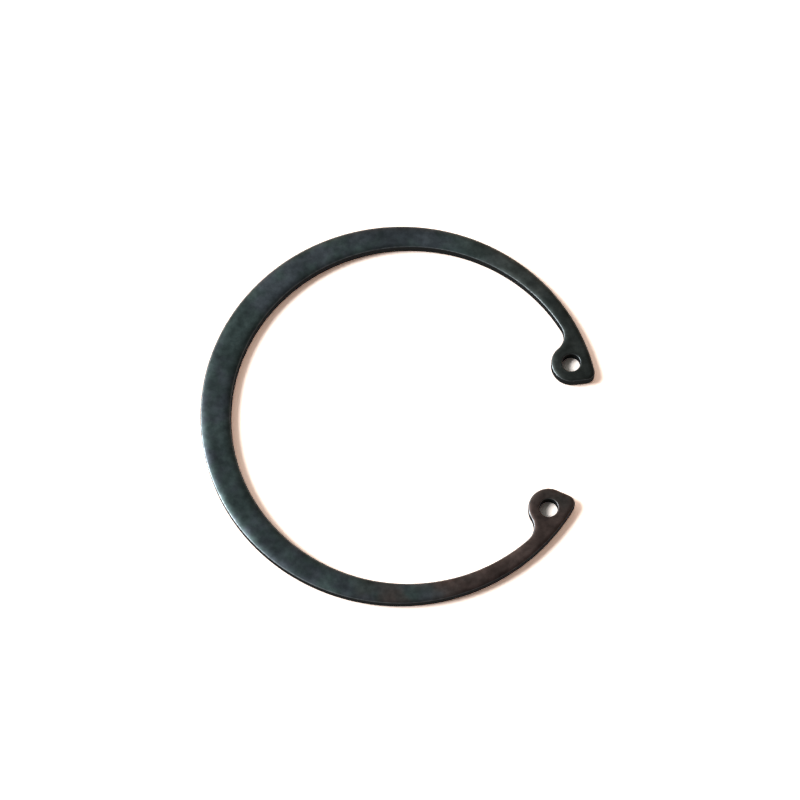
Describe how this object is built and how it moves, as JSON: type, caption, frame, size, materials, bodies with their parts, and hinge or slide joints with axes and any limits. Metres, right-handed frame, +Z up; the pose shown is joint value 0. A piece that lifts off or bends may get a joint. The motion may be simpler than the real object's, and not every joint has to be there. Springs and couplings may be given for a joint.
{
  "type": "internal retaining ring",
  "caption": "Flat open spring ring with a tapered band and two inward lugs with plier holes, snapped into a bore's groove to hold a bearing in place.",
  "frame": {"origin": "centre of the outside circle, on the plane of the lower face", "axes": "+Z up through the thickness, out of the face with the rolled edges; +X from the centre towards the middle of the gap; the ring is its own mirror image across the XZ plane"},
  "size_m": [0.064, 0.0662, 0.002],
  "materials": {
    "spring_steel": "blackened and lightly oiled"
  },
  "bodies": {
    "root": {"retaining_ring": "spring_steel"}
  },
  "joints": []
}
